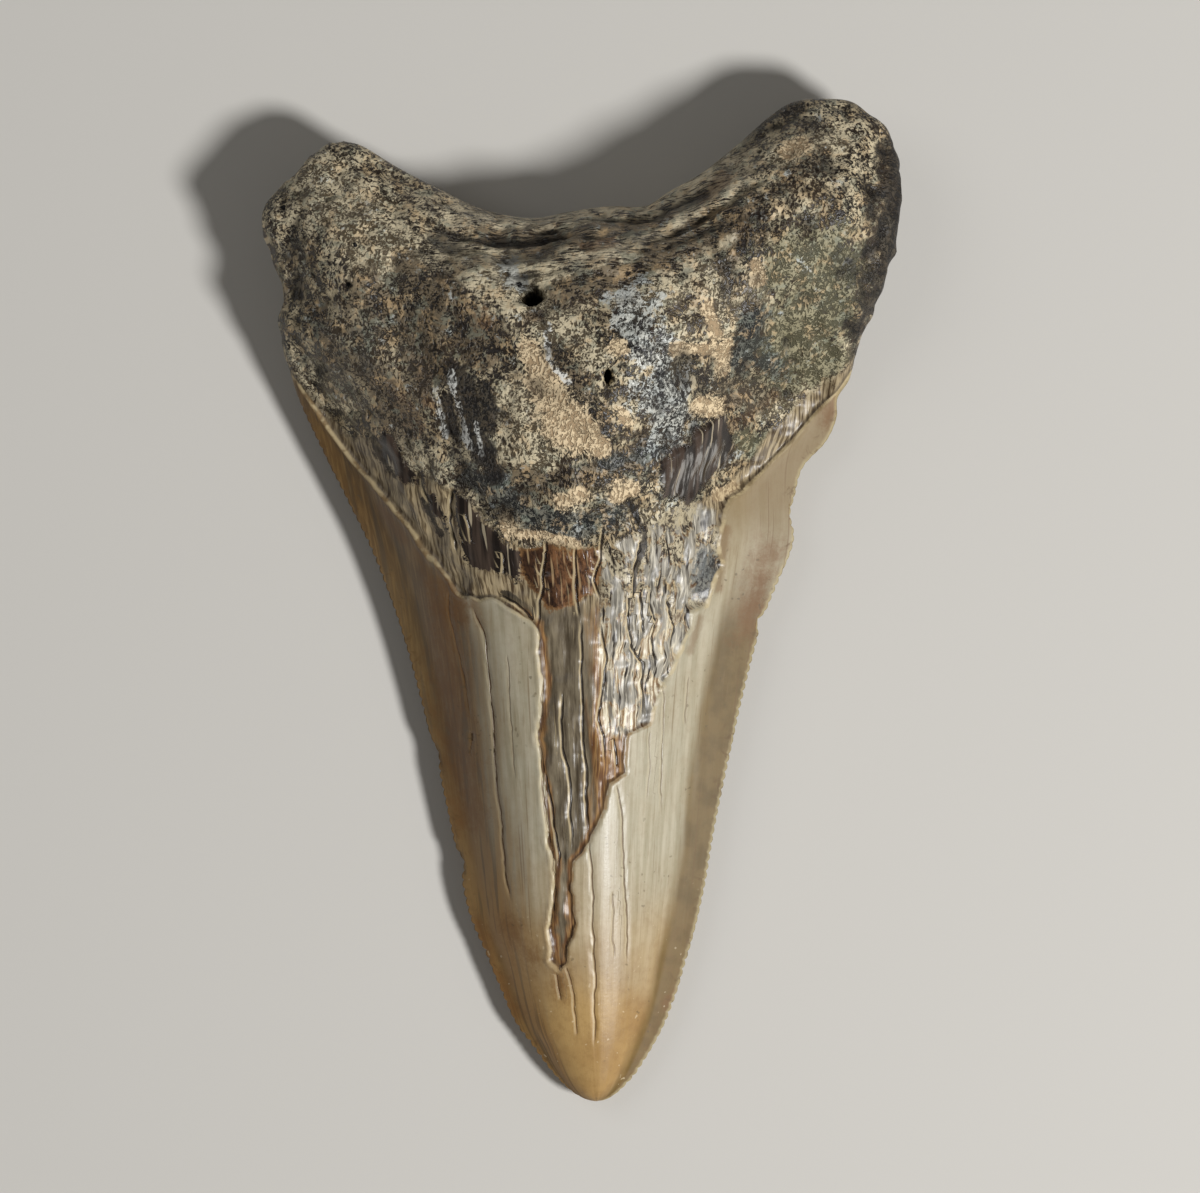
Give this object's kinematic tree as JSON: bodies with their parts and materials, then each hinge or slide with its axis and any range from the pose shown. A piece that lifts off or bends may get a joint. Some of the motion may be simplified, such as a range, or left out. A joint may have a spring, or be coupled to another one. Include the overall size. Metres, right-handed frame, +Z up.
{
  "type": "fossil megalodon tooth",
  "caption": "Fossil shark tooth lying on its flat face: a triangular blade with serrated cutting edges and a two-lobed root.",
  "frame": {"origin": "middle of the tooth's outline, on the surface that it rests on", "axes": "+X across the tooth, +Y along it from the blade's tip to the root's lobes, +Z up through its thickness, out of the rounded tongue-side face"},
  "size_m": [0.0586, 0.0927, 0.0197],
  "materials": {
    "fossil": "half-gloss worn enamel on the blade, matt pitted root"
  },
  "bodies": {
    "root": {"tooth": "fossil"}
  },
  "joints": []
}
